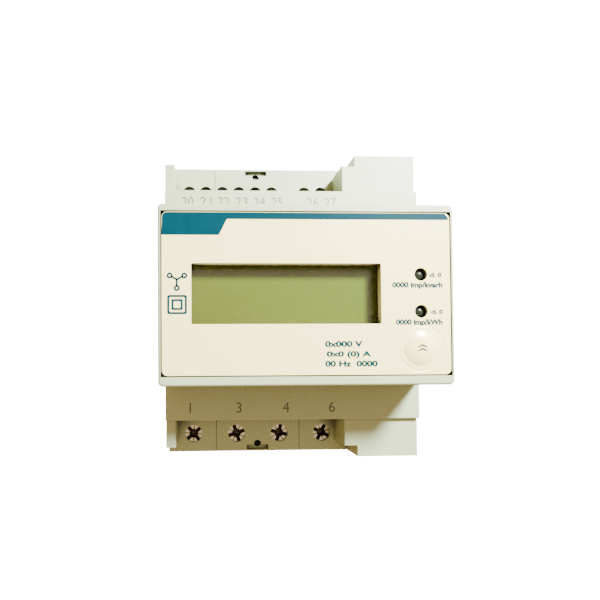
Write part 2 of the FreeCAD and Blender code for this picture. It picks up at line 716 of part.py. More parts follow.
def clamp_cage(label, x, z, sizes):
    """Rising clamp: a metal loop whose thick front wall is threaded on the screw."""
    half, wall, length, front, nut, rear, floor, shank = sizes
    piece = Piece(label, x=x, z=z)
    piece.pad("front", rear, front, rectangle(-half, half, -length / 2, length / 2))
    inner = half - wall
    piece.cut("top", -length, length, rectangle(-inner, inner, -(front - nut), -(rear + floor)))
    piece.cut("front", front - nut - OVERRUN, front + OVERRUN, disc(0, 0, shank + P["thread_gap"]))
    piece.round(wall / 2, lambda middle, along, edge: along_height(along)
                and near(abs(middle.x), half))
    return piece


def power_cage(number, index):
    sizes = (P["power_cage_half"], P["power_cage_wall"], P["power_cage_length"],
             P["power_cage_front"], P["power_cage_nut"], P["power_cage_rear"],
             P["power_cage_floor"], P["power_shank"])
    return clamp_cage(f"power_cage_{number}", power_x(index), P["power_z"], sizes)


def signal_cage(number, place):
    sizes = (S["signal_cage_half"], S["signal_cage_wall"], S["signal_cage_length"],
             S["signal_cage_front"], S["signal_cage_nut"], S["signal_cage_rear"],
             S["signal_cage_floor"], S["signal_shank"])
    return clamp_cage(f"signal_cage_{number}", signal_x(place), S["signal_z"], sizes)


def current_bar(label, first):
    """Copper bar from one current terminal to the next, through the ring of its transformer."""
    front, back, half = P["tongue_front"], P["tongue_back"], P["tongue_half"]
    left, right = power_x(first), power_x(first + 1)
    piece = Piece(label)
    piece.pad("front", back, front, outline([
        (left - half, P["tongue_low"]), (left + half, P["tongue_low"]), (left + half, P["bar_low"]),
        (right - half, P["bar_low"]), (right - half, P["tongue_low"]), (right + half, P["tongue_low"]),
        (right + half, P["bar_high"]), (left - half, P["bar_high"])]))
    piece.bevel(P["tongue_bevel"], lambda middle, along, edge: along_depth(along)
                and near(middle.z, P["tongue_low"]))
    return piece


def current_transformer(label, first):
    """Moulded ring round the copper bar between two current terminals."""
    piece = Piece(label, x=N["ring_x"] + N["ring_pitch"] * first / 2, depth=N["ring_depth"], z=N["ring_z"])
    piece.pad("side", 0, N["ring_length"], disc(0, 0, N["ring_outer"]), disc(0, 0, N["ring_inner"]))
    piece.round(N["ring_round"], lambda middle, along, edge: True)
    return piece


def signal_terminal_block():
    """Plastic body of the upper terminals, open at the back for the clamps."""
    places = list(SIGNAL_NUMBERS.values())
    left, right = signal_x(places[0]) - S["block_side"], signal_x(places[-1]) + S["block_side"]
    piece = Piece("signal_terminal_block")
    piece.pad("front", S["block_back"], S["block_front"],
              rectangle(left, right, S["block_low"], S["block_high"]))
    piece.cut("front", S["block_back"], S["block_front"] + OVERRUN,
              *[disc(signal_x(place), S["signal_z"], S["signal_hole"]) for place in places])
    half = S["pocket_half"]
    piece.cut("front", S["block_back"] - OVERRUN, S["pocket_front"],
              *[rectangle(signal_x(place) - half, signal_x(place) + half,
                          S["pocket_low"], S["pocket_high"]) for place in places])
    half = S["signal_entry_half"]
    piece.cut("top", S["pocket_high"] - OVERRUN, S["block_high"] + OVERRUN,
              *[rectangle(signal_x(place) - half, signal_x(place) + half,
                          -S["signal_entry_front"], -S["signal_entry_back"]) for place in places])
    return piece


def signal_contacts():
    """Eight brass contacts: a tongue through each clamp, and a leg back to the main board."""
    items = []
    for number, place in SIGNAL_NUMBERS.items():
        x, half, leg = signal_x(place), S["signal_tongue_half"], S["signal_leg"]
        low, high = S["signal_tongue_low"], S["signal_tongue_high"]
        tongue = block(f"Tongue_{number}", x - half, x + half, S["signal_tongue_back"],
                       S["signal_tongue_front"], low, high)
        foot = block(f"Leg_{number}", x - leg / 2, x + leg / 2, N["main_front"],
                     S["signal_tongue_back"] + OVERLAP, low, low + leg)
        items.append(joined("MultiFuse", f"Contact_{number}", [tongue, foot]))
    return keep(joined("Compound", "SignalContacts", items), "signal_contacts")


# ---------------------------------------------------------------- front plate and display

def plate_edges():
    gap = C["rim_side"] + F["plate_gap"]
    low = C["rim_bottom"] + F["plate_gap"] - half_nose
    high = half_nose - C["rim_top"] - F["plate_gap"]
    return gap - half_width, half_width - gap, low, high


def plate_corner(middle, along, edge):
    left, right, low, high = plate_edges()
    side = near(middle.x, left) or near(middle.x, right)
    return along_depth(along) and side and (near(middle.z, low) or near(middle.z, high))


def window():
    return rectangle(F["window_left"], F["window_right"], F["window_low"], F["window_high"])


def widened_window(margin):
    return (F["window_left"] - margin, F["window_right"] + margin,
            F["window_low"] - margin, F["window_high"] + margin)


def led_places():
    return {"upper": F["led_upper_z"], "lower": F["led_lower_z"]}


def stud_places():
    """The studs stand near the corners, apart from the lower right one, which clears the button."""
    return [(-F["stud_x"], -F["stud_z"]), (-F["stud_x"], F["stud_z"]),
            (F["stud_x"], F["stud_z"]), (F["stud_inner_x"], -F["stud_z"])]


def face_plate():
    """Plate that closes the nose, with the window, two lamp holes, the button hole and four studs."""
    piece = Piece("face_plate")
    back, front = C["ledge_depth"], F["plate_front"]
    piece.pad("front", back, front, rectangle(*plate_edges()))
    piece.round(F["plate_corner"], plate_corner)
    lamps = [disc(F["led_x"], z, F["led_hole"]) for z in led_places().values()]
    hole = disc(B["button_x"], B["button_z"], B["plate_hole"])
    piece.cut("front", back - OVERRUN, front + OVERRUN, window(), hole, *lamps)
    studs = [disc(x, z, F["stud_radius"]) for x, z in stud_places()]
    piece.pad("front", F["board_front"], back + OVERLAP, *studs)
    bores = [disc(x, z, F["stud_bore"]) for x, z in stud_places()]
    piece.cut("front", F["board_front"] - OVERRUN, F["stud_bore_end"], *bores)
    return piece


def front_foil():
    """Printed foil on the plate, cut out for the window, the lamps and the button's dome."""
    piece = Piece("front_foil")
    back, front = F["plate_front"], F["foil_front"]
    piece.pad("front", back, front, rectangle(*plate_edges()))
    piece.round(F["plate_corner"], plate_corner)
    lamps = [disc(F["led_x"], z, F["led_hole"]) for z in led_places().values()]
    hole = disc(B["button_x"], B["button_z"], B["foil_hole"])
    piece.cut("front", back - OVERRUN, front + OVERRUN, window(), hole, *lamps)
    return piece


def display_parts():
    pane = Piece("display_window")
    pane.pad("front", F["pane_back"], C["ledge_depth"], rectangle(*widened_window(F["pane_margin"])))
    pane.round(F["pane_corner"], lambda middle, along, edge: along_depth(along))
    glass = widened_window(F["glass_margin"])
    lcd = Piece("lcd_glass")
    lcd.pad("front", F["glass_back"], F["glass_front"], rectangle(*glass))
    outer_margin = F["glass_margin"] + F["holder_gap"] + F["holder_wall"]
    holder = Piece("lcd_holder")
    holder.pad("front", F["board_front"], F["holder_front"], rectangle(*widened_window(outer_margin)))
    bed = widened_window(F["glass_margin"] + F["holder_gap"])
    holder.cut("front", F["board_front"] - OVERRUN, F["holder_front"] + OVERRUN, rectangle(*bed))
    light = Piece("backlight_plate")
    inset = F["glass_margin"] - F["zebra_height"] - F["zebra_inset"] * 2
    light.pad("front", F["backlight_back"], F["glass_back"], rectangle(*widened_window(inset)))
    light.bevel(F["backlight_bevel"], lambda middle, along, edge: near(-middle.y, F["backlight_back"]))


def zebra_strips():
    """Two striped rubber connectors between the display glass and its board."""
    left, right, low, high = widened_window(F["glass_margin"] - F["zebra_inset"])
    items = []
    for name, bottom in (("Lower", low), ("Upper", high - F["zebra_height"])):
        items.append(block(f"Zebra{name}", left, right, F["board_front"], F["glass_back"],
                           bottom, bottom + F["zebra_height"]))
    return keep(joined("Compound", "ZebraStrips", items), "zebra_strips")


def display_board():
    """Front circuit board, with its four screws."""
    piece = Piece("display_board")
    width, height = F["board_half_width"], F["board_half_height"]
    piece.pad("front", F["board_back"], F["board_front"], rectangle(-width, width, -height, height))
    holes = [disc(x, z, F["stud_hole"]) for x, z in stud_places()]
    piece.cut("front", F["board_back"] - OVERRUN, F["board_front"] + OVERRUN, *holes)
    items = []
    for number, (x, z) in enumerate(stud_places()):
        head = rod(f"StudHead_{number}", x, z, F["stud_head"],
                   F["board_back"] - F["stud_head_height"], F["board_back"])
        shank = rod(f"StudShank_{number}", x, z, F["stud_screw"],
                    F["board_back"] - OVERLAP, F["stud_screw_end"])
        items.append(joined("MultiFuse", f"StudScrew_{number}", [head, shank]))
    keep(joined("Compound", "DisplayScrews", items), "display_screws")


def pulse_led(name, z):
    """Round lamp that flashes once for each pulse: a flanged body with a domed tip and two leads."""
    x, radius = F["led_x"], F["led_radius"]
    flange = rod(f"Flange_{name}", x, z, F["led_flange"], F["led_base"], F["led_rim"])
    barrel = rod(f"Barrel_{name}", x, z, radius, F["led_rim"], F["led_top"] - radius)
    tip = DOC.addObject("Part::Sphere", f"Tip_{name}")
    bind(tip, Radius=radius, Placement_Base_x=x, Placement_Base_y=radius - F["led_top"], Placement_Base_z=z)
    items = [flange, barrel, tip]
    half = F["led_lead"]
    for side in (-1, 1):
        middle = x + F["led_lead_x"] * side
        items.append(block(f"Lead_{name}_{side + 1}", middle - half, middle + half,
                           F["board_front"], F["led_base"] + OVERLAP, z - half, z + half))
    return keep(joined("MultiFuse", f"Lamp_{name}", items), f"pulse_led_{name}")


# ---------------------------------------------------------------- select button

def cap_radius_of_curvature():
    """Radius of the sphere that gives the dome its height over its width."""
    radius, height = B["dome_radius"], B["dome_height"]
    return (radius * radius + height * height) / (height * 2)


def dome_solid(name, offset):
    """The part in front of the dome's rim of a sphere that lies a little inside the dome."""
    x, z = B["button_x"], B["button_z"]
    sphere = DOC.addObject("Part::Sphere", f"{name}Sphere")
    radius = cap_radius_of_curvature() - offset
    centre = B["dome_rim"] + B["dome_height"] - cap_radius_of_curvature()
    bind(sphere, Radius=radius, Placement_Base_x=x, Placement_Base_y=-centre, Placement_Base_z=z)
    front = B["dome_rim"] + B["dome_height"] * 2
    column = rod(f"{name}Column", x, z, B["dome_radius"], B["dome_rim"], front)
    return joined("MultiCommon", f"{name}Cap", [sphere, column])


def button_parts():
    """The dome pressed in the foil, the cap behind it and the switch's own plunger."""
    x, z = B["button_x"], B["button_z"]
    dome = minus("Dome", dome_solid("Outer", 0), dome_solid("Inner", B["dome_thickness"]))
    keep(dome, "button_dome")
    cap = Piece("select_button", x=x, z=z)
    cap.pad("front", B["cap_back"], B["cap_front"], disc(0, 0, B["cap_radius"]))
    cap.pad("front", B["cap_front"], B["crown_front"], disc(0, 0, B["crown_radius"]))
    cap.pad("front", B["flange_back"], B["cap_back"], disc(0, 0, B["flange_radius"]))
    cap.pad("front", B["stem_back"], B["flange_back"], disc(0, 0, B["stem_radius"]))
    plunger = Piece("switch_plunger", x=x, z=z)
    plunger.pad("front", B["plunger_back"], B["stem_back"], disc(0, 0, B["plunger_radius"]))
    body = Piece("switch_body", x=x, z=z)
    body.pad("front", F["board_front"], B["switch_front"], square(0, 0, B["switch_half"]))
    body.cut("front", B["switch_floor"], B["switch_front"] + OVERRUN, disc(0, 0, B["switch_hole"]))
    body.round(B["switch_corner"], lambda middle, along, edge: along_depth(along)
               and near(abs(middle.x), B["switch_half"]))


# ---------------------------------------------------------------- boards and parts inside

def main_board():
    piece = Piece("main_board")
    piece.pad("front", N["main_back"], N["main_front"],
              rectangle(-N["main_half_width"], N["main_half_width"], N["main_low"], N["main_high"]))
    holes = [disc(x, z, N["board_hole"]) for x, z in boss_places()]
    piece.cut("front", N["main_back"] - OVERRUN, N["main_front"] + OVERRUN, *holes)
    items = []
    for number, (x, z) in enumerate(boss_places()):
        head = rod(f"BoardHead_{number}", x, z, N["board_screw_head"], N["main_front"], N["board_screw_top"])
        shank = rod(f"BoardShank_{number}", x, z, N["board_screw"], N["board_screw_tip"],
                    N["main_front"] + OVERLAP)
        items.append(joined("MultiFuse", f"BoardScrew_{number}", [head, shank]))
    keep(joined("Compound", "BoardScrews", items), "board_screws")


def supply_transformer():
    """Laminated core round a moulded coil."""
    core = Piece("transformer_core")
    middle = (N["core_left"] + N["core_right"]) / 2
    half = N["winding_half"]
    low, high = N["winding_low"], N["winding_high"]
    back = N["core_back"]
    core.pad("front", back, back + N["core_stack"],
             rectangle(N["core_left"], N["core_right"], N["core_low"], N["core_high"]))
    gap = N["winding_gap"]
    core.cut("front", back - OVERRUN, back + N["core_stack"] + OVERRUN,
             rectangle(middle - half - gap, middle + half + gap, low - gap, high + gap))
    coil = Piece("transformer_coil")
    coil.pad("front", N["winding_back"], N["winding_front"],
             rectangle(middle - half, middle + half, low, high))
    coil.round(N["winding_round"], lambda point, along, edge: near(-point.y, N["winding_front"]))


def board_parts():
    """Components on the main board, and the riser that joins it to the display board."""
    front = N["main_front"]
    riser = Piece("riser_board")
    riser.pad("side", N["riser_left"], N["riser_right"],
              rectangle(-F["board_back"], -front, N["riser_low"], N["riser_high"]))
    can = Piece("filter_capacitor", x=N["can_x"], z=N["can_z"])
    can.pad("front", front, N["can_top"], disc(0, 0, N["can_radius"]))
    can.round(N["can_round"], lambda middle, along, edge: near(-middle.y, N["can_top"]))
    film = Piece("mains_capacitor")
    film.pad("front", front, N["film_top"],
             rectangle(N["film_left"], N["film_right"], N["film_low"], N["film_high"]))
    film.round(N["film_round"], lambda middle, along, edge: near(-middle.y, N["film_top"]))
    disc_part = rod_across("Varistor", N["varistor_depth"], N["varistor_z"], N["varistor_radius"],
                           N["varistor_x"], N["varistor_x"] + N["varistor_thickness"])
    keep(disc_part, "varistor")
    items = []
    for number in range(4):
        x = N["coupler_x"] + N["coupler_pitch"] * number
        items.append(block(f"Coupler_{number}", x - N["coupler_half"], x + N["coupler_half"], front,
                           N["coupler_top"], N["coupler_low"], N["coupler_high"]))
    keep(joined("Compound", "Couplers", items), "optocouplers")
    half = N["chip_half"]
    chip = block("Metering", N["chip_x"] - half, N["chip_x"] + half, front, N["chip_top"],
                 N["chip_z"] - half, N["chip_z"] + half)
    keep(chip, "metering_chip")
    half = N["controller_half"]
    chip = block("Controller", N["controller_x"] - half, N["controller_x"] + half,
                 N["controller_back"], F["board_back"], -half, half)
    keep(chip, "controller_chip")


# ---------------------------------------------------------------- assembly and output

def build():
    front_housing()
    rear_housing()
    rail_clip()
    clip_spring()
    for index, number in enumerate(POWER_NUMBERS):
        power_screw(number, index)
        power_cage(number, index)
    for number, place in SIGNAL_NUMBERS.items():
        signal_screw(number, place)
        signal_cage(number, place)
    current_bar("current_bar_left", 0)
    current_bar("current_bar_right", 2)
    current_transformer("current_transformer_left", 0)
    current_transformer("current_transformer_right", 2)
    signal_terminal_block()
    signal_contacts()
    face_plate()
    front_foil()
    display_parts()
    zebra_strips()
    display_board()
    for name, z in led_places().items():
        pulse_led(name, z)
    button_parts()
    main_board()
    supply_transformer()
    board_parts()
    DOC.recompute()


def check():
    for item in DOC.Objects:
        if "Invalid" in item.State or "Error" in item.State:
            raise RuntimeError(f"{item.Name} ({item.Label}) is in state {item.State}")
    for item in PIECES:
        shape = item.Shape
        if shape.isNull() or not shape.isValid() or not shape.Solids:
            raise RuntimeError(f"{item.Label} has no valid solid")


def write():
    os.makedirs("parts", exist_ok=True)
    for item in PIECES:
        item.Shape.exportStep(f"parts/{item.Label}.step")
    print(f"{len(PIECES)} sub-parts written")


build()
check()
write()
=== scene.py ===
import json
import math

import bmesh
import bpy
from mathutils import Matrix, Vector


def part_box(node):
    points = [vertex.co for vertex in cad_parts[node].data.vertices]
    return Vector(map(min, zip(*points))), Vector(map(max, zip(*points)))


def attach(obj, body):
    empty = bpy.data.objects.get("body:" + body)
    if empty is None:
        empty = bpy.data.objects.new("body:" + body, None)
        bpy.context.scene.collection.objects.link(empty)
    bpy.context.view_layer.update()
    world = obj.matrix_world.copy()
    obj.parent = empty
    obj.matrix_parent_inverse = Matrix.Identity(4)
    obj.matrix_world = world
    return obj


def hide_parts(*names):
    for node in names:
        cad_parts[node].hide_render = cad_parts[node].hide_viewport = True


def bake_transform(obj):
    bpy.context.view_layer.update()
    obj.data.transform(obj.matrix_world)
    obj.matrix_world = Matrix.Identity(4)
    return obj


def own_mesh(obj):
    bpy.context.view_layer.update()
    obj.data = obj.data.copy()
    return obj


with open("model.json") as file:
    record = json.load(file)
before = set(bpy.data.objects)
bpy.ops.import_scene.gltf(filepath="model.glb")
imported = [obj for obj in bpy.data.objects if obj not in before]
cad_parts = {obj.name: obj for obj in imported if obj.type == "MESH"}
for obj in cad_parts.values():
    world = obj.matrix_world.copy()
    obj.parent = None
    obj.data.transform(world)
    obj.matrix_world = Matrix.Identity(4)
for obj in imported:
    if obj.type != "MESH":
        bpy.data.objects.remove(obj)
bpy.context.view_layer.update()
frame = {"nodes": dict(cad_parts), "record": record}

MM = 0.001
NODES = frame["nodes"]

# The front is seen along +Y, with +X to the right and +Z up. Flat details are drawn as (x, z) in
# millimetres and then set on a surface that faces -Y.


# ---------------------------------------------------------------- places read from the frame

def centre_of(node):
    low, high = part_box(node)
    return (low + high) / 2


FOIL_LOW, FOIL_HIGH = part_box("front_foil")
FOIL_Y = FOIL_LOW.y
DOME_LOW, DOME_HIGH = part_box("button_dome")
DOME_CENTRE = centre_of("button_dome")
DOME_RADIUS = (DOME_HIGH.x - DOME_LOW.x) / 2
PANE_LOW, PANE_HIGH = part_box("display_window")
PANE_MARGIN = 1.6 * MM
BAND_Y = -42 * MM
POWER_TERMINALS = ("1", "3", "4", "6")
SIGNAL_TERMINALS = tuple(str(number) for number in range(20, 28))


# ---------------------------------------------------------------- material nodes

# Painted shade in gaps, corners and recesses: its reach, its colour, the openness at which it is full
# and the openness at which it is gone. The last value of the screw's painted shade says that only the screw
# itself shades.
GAP_PAINTED_SHADE = (8 * MM, (0.016, 0.018, 0.011), 0.32, 0.53)
SCREW_PAINTED_SHADE = (1.8 * MM, (0.012, 0.008, 0.004), 0.78, 0.97, True)


class Paint:
    """Builds one procedural material round a Principled shader."""

    def __init__(self, name, **constants):
        self.material = bpy.data.materials.new(name)
        self.material.use_nodes = True
        self.tree = self.material.node_tree
        self.shader = self.tree.nodes["Principled BSDF"]
        for key, value in constants.items():
            self.shader.inputs[key.replace("_", " ")].default_value = value
        self.place = self.add("ShaderNodeTexCoord").outputs["Object"]

    def add(self, kind, **settings):
        node = self.tree.nodes.new(kind)
        for key, value in settings.items():
            setattr(node, key, value)
        return node

    def link(self, source, target):
        self.tree.links.new(source, target)

    def noise(self, scale, detail=3.0, stretch=(1, 1, 1)):
        mapping = self.add("ShaderNodeMapping")
        mapping.inputs["Scale"].default_value = stretch
        self.link(self.place, mapping.inputs["Vector"])
        node = self.add("ShaderNodeTexNoise")
        node.inputs["Scale"].default_value = scale
        node.inputs["Detail"].default_value = detail
        self.link(mapping.outputs["Vector"], node.inputs["Vector"])
        return node.outputs["Fac"]

    def ramp(self, factor, stops):
        node = self.add("ShaderNodeValToRGB")
        band = node.color_ramp
        while len(band.elements) < len(stops):
            band.elements.new(0.5)
        for element, (position, colour) in zip(band.elements, stops):
            element.position = position
            element.color = (*colour, 1)
        self.link(factor, node.inputs["Fac"])
        return node.outputs["Color"]

    def mottle(self, colour, scale, spread):
        """The base colour, a little darker and lighter in soft patches."""
        darker = [channel * (1 - spread) for channel in colour]
        lighter = [min(channel * (1 + spread), 1) for channel in colour]
        self.link(self.ramp(self.noise(scale), [(0.3, darker), (0.7, lighter)]),
                  self.shader.inputs["Base Color"])
        return self

    def rough(self, low, high, scale):
        node = self.add("ShaderNodeMapRange")
        node.inputs["To Min"].default_value = low
        node.inputs["To Max"].default_value = high
        self.link(self.noise(scale), node.inputs["Value"])
        self.link(node.outputs["Result"], self.shader.inputs["Roughness"])
        return self

    def grime(self, reach, colour, dark, unshaded, local=False):
        """Painted shade: the base colour is darkened where nearby surfaces close in, in gaps, corners and
        recesses.
        """
        cover = self.add("ShaderNodeAmbientOcclusion", samples=8, only_local=local)
        cover.inputs["Distance"].default_value = reach
        span = self.add("ShaderNodeMapRange")
        span.inputs["From Min"].default_value = dark
        span.inputs["From Max"].default_value = unshaded
        self.link(cover.outputs["AO"], span.inputs["Value"])
        mix = self.add("ShaderNodeMix", data_type="RGBA")
        shaded_side, unshaded_side = [socket for socket in mix.inputs if socket.type == "RGBA"]
        result = next(socket for socket in mix.outputs if socket.type == "RGBA")
        target = self.shader.inputs["Base Color"]
        self.link(span.outputs["Result"], mix.inputs["Factor"])
        shaded_side.default_value = (*colour, 1)
        self.link(target.links[0].from_socket, unshaded_side)
        self.link(result, target)
        return self

    def bump(self, height, strength, distance):
        node = self.add("ShaderNodeBump")
        node.inputs["Strength"].default_value = strength
        node.inputs["Distance"].default_value = distance
        self.link(height, node.inputs["Height"])
        self.link(node.outputs["Normal"], self.shader.inputs["Normal"])
        return self


def moulded(name, colour, grain=9000, depth=0.02, rough=(0.42, 0.56), spread=0.02, grime=None):
    """Moulded plastic: fine spark-eroded grain, slow colour drift and uneven polish."""
    paint = Paint(name, IOR=1.5)
    paint.mottle(colour, 60, spread)
    # painted shade in gaps, corners and recesses, when one is given
    if grime:
        paint.grime(*grime)
    paint.rough(*rough, 400)
    return paint.bump(paint.noise(grain, 2), 0.25, depth * MM).material


def plated(name, colour, low, high, grain=6000, stretch=(1, 1, 1), grime=None):
    """Plated or bare metal with fine scratches and patches of tarnish."""
    paint = Paint(name, Metallic=1.0)
    paint.mottle(colour, 900, 0.16)
    # painted shade in recesses, when one is given
    if grime:
        paint.grime(*grime)
    paint.rough(low, high, 1500)
    return paint.bump(paint.noise(grain, 4, stretch), 0.3, 0.01 * MM).material


def glossy(name, colour, rough=(0.08, 0.2), spread=0.05, shine=0.5):
    """Smooth coated or cast resin with faint waviness."""
    paint = Paint(name, IOR=1.52, Specular_IOR_Level=shine)
    paint.mottle(colour, 300, spread)
    paint.rough(*rough, 500)
    return paint.bump(paint.noise(700, 1), 0.1, 0.02 * MM).material


def printed_foil(name, colour):
    """Satin polyester foil: very fine texture with a faint long wave from the adhesive."""
    paint = Paint(name, IOR=1.5)
    paint.mottle(colour, 45, 0.015)
    paint.rough(0.22, 0.3, 300)
    return paint.bump(paint.noise(14000, 2), 0.15, 0.006 * MM).material


def ink(name, colour):
    """Screen-printed ink: flat, with a trace of uneven cover."""
    paint = Paint(name, IOR=1.4, Specular_IOR_Level=0.05)
    paint.mottle(colour, 500, 0.05)
    paint.rough(0.3, 0.4, 800)
    return paint.bump(paint.noise(9000, 2), 0.1, 0.004 * MM).material


def clear_pane(name):
    """Clear acrylic: nearly invisible, with soft reflections and a trace of dust."""
    paint = Paint(name, IOR=1.49)
    dust = paint.ramp(paint.noise(2500, 5), [(0.4, (0.75, 0.78, 0.55)), (0.8, (0.9, 0.9, 0.7))])
    paint.link(dust, paint.shader.inputs["Base Color"])
    node = paint.add("ShaderNodeMapRange")
    node.inputs["From Min"].default_value = 0.5
    node.inputs["From Max"].default_value = 0.9
    node.inputs["To Min"].default_value = 0.006
    node.inputs["To Max"].default_value = 0.016
    paint.link(paint.noise(1200, 5), node.inputs["Value"])
    paint.link(node.outputs["Result"], paint.shader.inputs["Alpha"])
    return paint.rough(0.03, 0.08, 200).material


def display_glass(name):
    """Reflective display: olive, a little browner towards its lower left, with a fine cell grain."""
    paint = Paint(name, IOR=1.5)
    split = paint.add("ShaderNodeSeparateXYZ")
    paint.link(paint.place, split.inputs["Vector"])
    lean = paint.add("ShaderNodeMath", operation="MULTIPLY_ADD")
    lean.inputs[1].default_value = 0.55
    paint.link(split.outputs["X"], lean.inputs[0])
    paint.link(split.outputs["Z"], lean.inputs[2])
    span = paint.add("ShaderNodeMapRange")
    span.inputs["From Min"].default_value = -22 * MM
    span.inputs["From Max"].default_value = 15 * MM
    paint.link(lean.outputs["Value"], span.inputs["Value"])
    tone = paint.ramp(span.outputs["Result"], [(0.0, (0.046, 0.058, 0.001)), (0.45, (0.049, 0.076, 0.002)),
                                               (1.0, (0.051, 0.083, 0.004))])
    paint.link(tone, paint.shader.inputs["Base Color"])
    paint.rough(0.10, 0.16, 900)
    return paint.bump(paint.noise(9000, 1), 0.08, 0.005 * MM).material


def board_material(name, colour):
    """Solder mask over tracks: darker lines where the copper runs below it."""
    paint = Paint(name, IOR=1.5)
    tracks = paint.add("ShaderNodeTexBrick")
    tracks.inputs["Scale"].default_value = 300
    tracks.inputs["Mortar Size"].default_value = 0.03
    tracks.inputs["Color1"].default_value = (*colour, 1)
    tracks.inputs["Color2"].default_value = (*[channel * 0.8 for channel in colour], 1)
    tracks.inputs["Mortar"].default_value = (*[channel * 1.9 for channel in colour], 1)
    paint.link(paint.place, tracks.inputs["Vector"])
    paint.link(tracks.outputs["Color"], paint.shader.inputs["Base Color"])
    paint.rough(0.25, 0.4, 500)
    return paint.bump(tracks.outputs["Fac"], 0.2, 0.03 * MM).material


def make_materials():
    """One finish for each material slot of the record."""
    return {
        # case_plastic and plate_plastic carry painted shade in their gaps, corners and recesses
        "case_plastic": moulded("case_plastic", (0.31, 0.385, 0.235), grime=GAP_PAINTED_SHADE),
        "plate_plastic": moulded("plate_plastic", (0.70, 0.72, 0.50), depth=0.008, grime=GAP_PAINTED_SHADE),
        "foil": printed_foil("foil", (0.76, 0.69, 0.285)),
        "clear_window": clear_pane("clear_window"),
        "display_glass": display_glass("display_glass"),
        "holder_plastic": moulded("holder_plastic", (0.55, 0.56, 0.42)),
        "diffuser_plastic": moulded("diffuser_plastic", (0.75, 0.75, 0.68)),
        "connector_rubber": moulded("connector_rubber", (0.03, 0.03, 0.032), rough=(0.6, 0.8)),
        "circuit_board": board_material("circuit_board", (0.012, 0.07, 0.03)),
        "zinc_steel": plated("zinc_steel", (0.50, 0.50, 0.48), 0.28, 0.45),
        # terminal_screw carries painted shade in its recess
        "terminal_screw": plated("terminal_screw", (0.44, 0.43, 0.31), 0.22, 0.40, grime=SCREW_PAINTED_SHADE),
        "spring_steel": plated("spring_steel", (0.34, 0.34, 0.35), 0.22, 0.35),
        "copper": plated("copper", (0.72, 0.33, 0.20), 0.25, 0.4),
        "brass": plated("brass", (0.70, 0.52, 0.22), 0.25, 0.4),
        "lamp_resin": glossy("lamp_resin", (0.012, 0.015, 0.010), rough=(0.25, 0.32), shine=0.16),
        "button_plastic": moulded("button_plastic", (0.7, 0.68, 0.6)),
        "black_plastic": moulded("black_plastic", (0.02, 0.02, 0.021), spread=0.1),
        "terminal_plastic": moulded("terminal_plastic", (0.014, 0.036, 0.022), spread=0.06),
        "ring_plastic": glossy("ring_plastic", (0.012, 0.014, 0.022)),
        "clip_plastic": moulded("clip_plastic", (0.022, 0.022, 0.023), rough=(0.4, 0.55), spread=0.08),
        "core_iron": plated("core_iron", (0.09, 0.09, 0.095), 0.4, 0.6, 4000, (0.05, 1, 0.05)),
        "coil_tape": glossy("coil_tape", (0.66, 0.44, 0.04), rough=(0.25, 0.4)),
        "can_aluminium": plated("can_aluminium", (0.62, 0.63, 0.64), 0.25, 0.4),
        "capacitor_plastic": glossy("capacitor_plastic", (0.60, 0.42, 0.05), rough=(0.25, 0.4)),
        "varistor_coating": glossy("varistor_coating", (0.02, 0.06, 0.28)),
    }


def make_inks():
    """The colours of the foil's printing, and the dark grey of the numbers on the case, which is painted
    shade of their moulded relief.
    """
    return {
        "teal": ink("ink_teal", (0.0004, 0.028, 0.040)),
        # painted shade: a dark grey that stands in for the shade on the moulded numbers' relief
        "number_shade": moulded("numbers_painted_shade", (0.07, 0.07, 0.045), rough=(0.5, 0.6), spread=0.08),
    }


# ---------------------------------------------------------------- mesh helpers

def new_object(name, mesh):
    made = bpy.data.objects.new(name, mesh)
    bpy.context.scene.collection.objects.link(made)
    return made


def finished(built, name, material, smooth=False):
    """A mesh object from a bmesh, with its normals outward."""
    bmesh.ops.recalc_face_normals(built, faces=built.faces)
    mesh = bpy.data.meshes.new(name)
    for face in built.faces:
        face.smooth = smooth
    built.to_mesh(mesh)
    built.free()
    mesh.materials.append(material)
    return new_object(name, mesh)


def arc(centre, radius, start, end, steps=12):
    """Points on a circular arc, from one angle to another in degrees."""
    points = []
    for step in range(steps + 1):
        angle = math.radians(start + (end - start) * step / steps)
        points.append((centre[0] + radius * math.cos(angle), centre[1] + radius * math.sin(angle)))
    return points


def rounded(left, right, low, high, radius, steps=6):
    """A rectangle with round corners, anticlockwise."""
    return (arc((right - radius, low + radius), radius, -90, 0, steps)
            + arc((right - radius, high - radius), radius, 0, 90, steps)
            + arc((left + radius, high - radius), radius, 90, 180, steps)
            + arc((left + radius, low + radius), radius, 180, 270, steps))


def ring_points(centre, radius, steps):
    """A full circle, anticlockwise, without its first point twice."""
    return arc(centre, radius, 0, 360 - 360 / steps, steps - 1)


def filled(outlines):
    """A flat bmesh in the XY plane bounded by closed outlines, the inner ones as holes."""
    curve = bpy.data.curves.new("outline", "CURVE")
    curve.dimensions = "2D"
    curve.fill_mode = "FRONT"
    for points in outlines:
        spline = curve.splines.new("POLY")
        spline.points.add(len(points) - 1)
        for point, (across, up) in zip(spline.points, points):
            point.co = (across, up, 0, 1)
        spline.use_cyclic_u = True
    holder = new_object("outline", curve)
    graph = bpy.context.evaluated_depsgraph_get()
    mesh = bpy.data.meshes.new_from_object(holder.evaluated_get(graph))
    bpy.data.objects.remove(holder)
    built = bmesh.new()
    built.from_mesh(mesh)
    bpy.data.meshes.remove(mesh)
    return built


def stood_up(built, y):
    """Turns a flat drawing in millimetres so that it faces -Y at the given y."""
    for vertex in built.verts:
        across, up, _ = vertex.co
        vertex.co = Vector((across * MM, y, up * MM))
    return built


